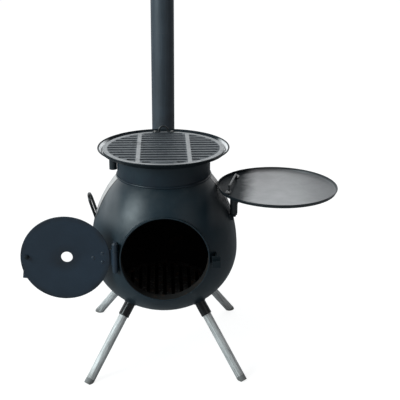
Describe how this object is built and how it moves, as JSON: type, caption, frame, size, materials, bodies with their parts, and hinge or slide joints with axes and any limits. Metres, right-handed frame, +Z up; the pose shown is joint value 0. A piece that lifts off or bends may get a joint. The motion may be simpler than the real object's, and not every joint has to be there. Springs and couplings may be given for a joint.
{
  "type": "chiminea",
  "caption": "Round steel garden fire body on splayed legs with a round hinged door, grill over a drip tray, swing-out side plate and tall rear flue.",
  "frame": {"origin": "on the ground, below the middle of the round fire body", "axes": "+Z up along the body's axis, -Y out of the fire opening, +X to the right of a person facing the opening"},
  "size_m": [0.7655, 0.4353, 1.445],
  "materials": {
    "body_paint": "satin",
    "door_paint": "satin",
    "gloss_black": "gloss",
    "pan_paint": "satin",
    "handle_steel": "satin",
    "grill_iron": "matte",
    "fastener_steel": "satin",
    "chimney_paint": "satin",
    "leg_zinc": "satin",
    "foot_rubber": "matte",
    "sooty_steel": "matte"
  },
  "bodies": {
    "fire_body": {"front_shell": "body_paint", "rear_shell": "body_paint", "neck_collar": "body_paint", "opening_ring": "body_paint", "hinge_knuckles": "body_paint", "hinge_pin": "fastener_steel", "latch_keeper": "body_paint", "handle_loop_left": "gloss_black", "handle_loop_right": "gloss_black", "side_plate_peg": "body_paint", "flue_elbow": "body_paint", "flue_weld_flange": "body_paint", "grate_lugs": "sooty_steel", "leg_socket_front_left": "gloss_black", "leg_socket_front_right": "gloss_black", "leg_socket_rear_left": "gloss_black", "leg_socket_rear_right": "gloss_black"},
    "door": {"door_disc": "door_paint", "door_hinge_leaf": "door_paint", "door_rivets": "fastener_steel", "latch_bolt": "fastener_steel", "latch_nut": "fastener_steel"},
    "latch": {"latch_lever": "door_paint"},
    "tray": {"drip_tray": "pan_paint", "tray_locating_ring": "pan_paint", "tray_socket_tube": "pan_paint"},
    "grill": {"grill_plate": "grill_iron", "grill_lifting_loop": "handle_steel", "grill_loop_rivets": "fastener_steel"},
    "side_plate": {"side_plate": "pan_paint", "side_plate_handle": "handle_steel", "side_plate_rivets": "fastener_steel", "side_plate_socket": "pan_paint"},
    "chimney_lower": {"chimney_lower": "chimney_paint"},
    "chimney_middle": {"chimney_middle": "chimney_paint"},
    "chimney_upper": {"chimney_upper": "chimney_paint"},
    "grate": {"fire_grate": "sooty_steel"},
    "leg_front_left": {"leg_tube_front_left": "leg_zinc", "foot_plug_front_left": "foot_rubber"},
    "leg_front_right": {"leg_tube_front_right": "leg_zinc", "foot_plug_front_right": "foot_rubber"},
    "leg_rear_left": {"leg_tube_rear_left": "leg_zinc", "foot_plug_rear_left": "foot_rubber"},
    "leg_rear_right": {"leg_tube_rear_right": "leg_zinc", "foot_plug_rear_right": "foot_rubber"}
  },
  "joints": [
    {"name": "door_swing", "type": "hinge", "parent": "fire_body", "child": "door", "pos_m": [-0.118, -0.153, 0.3127], "axis": [0, 0, 1], "range_deg": [0, 180]},
    {"name": "latch_turn", "type": "hinge", "parent": "door", "child": "latch", "pos_m": [-0.326, -0.153, 0.3177], "axis": [0, 1, 0], "range_deg": [0, 98]},
    {"name": "side_plate_swing", "type": "hinge", "parent": "fire_body", "child": "side_plate", "pos_m": [0.1715, -0.05, 0.4], "axis": [0, 0, 1], "range_deg": [-35, 0]},
    {"name": "tray_lift", "type": "slide", "parent": "fire_body", "child": "tray", "axis": [0, 0, 1], "range_m": [0, 0.06]},
    {"name": "grill_lift", "type": "slide", "parent": "tray", "child": "grill", "axis": [0, 0, 1], "range_m": [0, 0.08]},
    {"name": "chimney_lower_lift", "type": "slide", "parent": "fire_body", "child": "chimney_lower", "axis": [0, 0, 1], "range_m": [0, 0.045]},
    {"name": "chimney_middle_lift", "type": "slide", "parent": "chimney_lower", "child": "chimney_middle", "axis": [0, 0, 1], "range_m": [0, 0.045]},
    {"name": "chimney_upper_lift", "type": "slide", "parent": "chimney_middle", "child": "chimney_upper", "axis": [0, 0, 1], "range_m": [0, 0.045]},
    {"name": "grate_lift", "type": "slide", "parent": "fire_body", "child": "grate", "axis": [0, 0, 1], "range_m": [0, 0.04]},
    {"name": "leg_front_left_pull", "type": "slide", "parent": "fire_body", "child": "leg_front_left", "axis": [-0.4648, -0.4648, -0.7536], "range_m": [0, 0.04]},
    {"name": "leg_front_right_pull", "type": "slide", "parent": "fire_body", "child": "leg_front_right", "axis": [0.4648, -0.4648, -0.7536], "range_m": [0, 0.04]},
    {"name": "leg_rear_left_pull", "type": "slide", "parent": "fire_body", "child": "leg_rear_left", "axis": [-0.4648, 0.4648, -0.7536], "range_m": [0, 0.04]},
    {"name": "leg_rear_right_pull", "type": "slide", "parent": "fire_body", "child": "leg_rear_right", "axis": [0.4648, 0.4648, -0.7536], "range_m": [0, 0.04]}
  ]
}
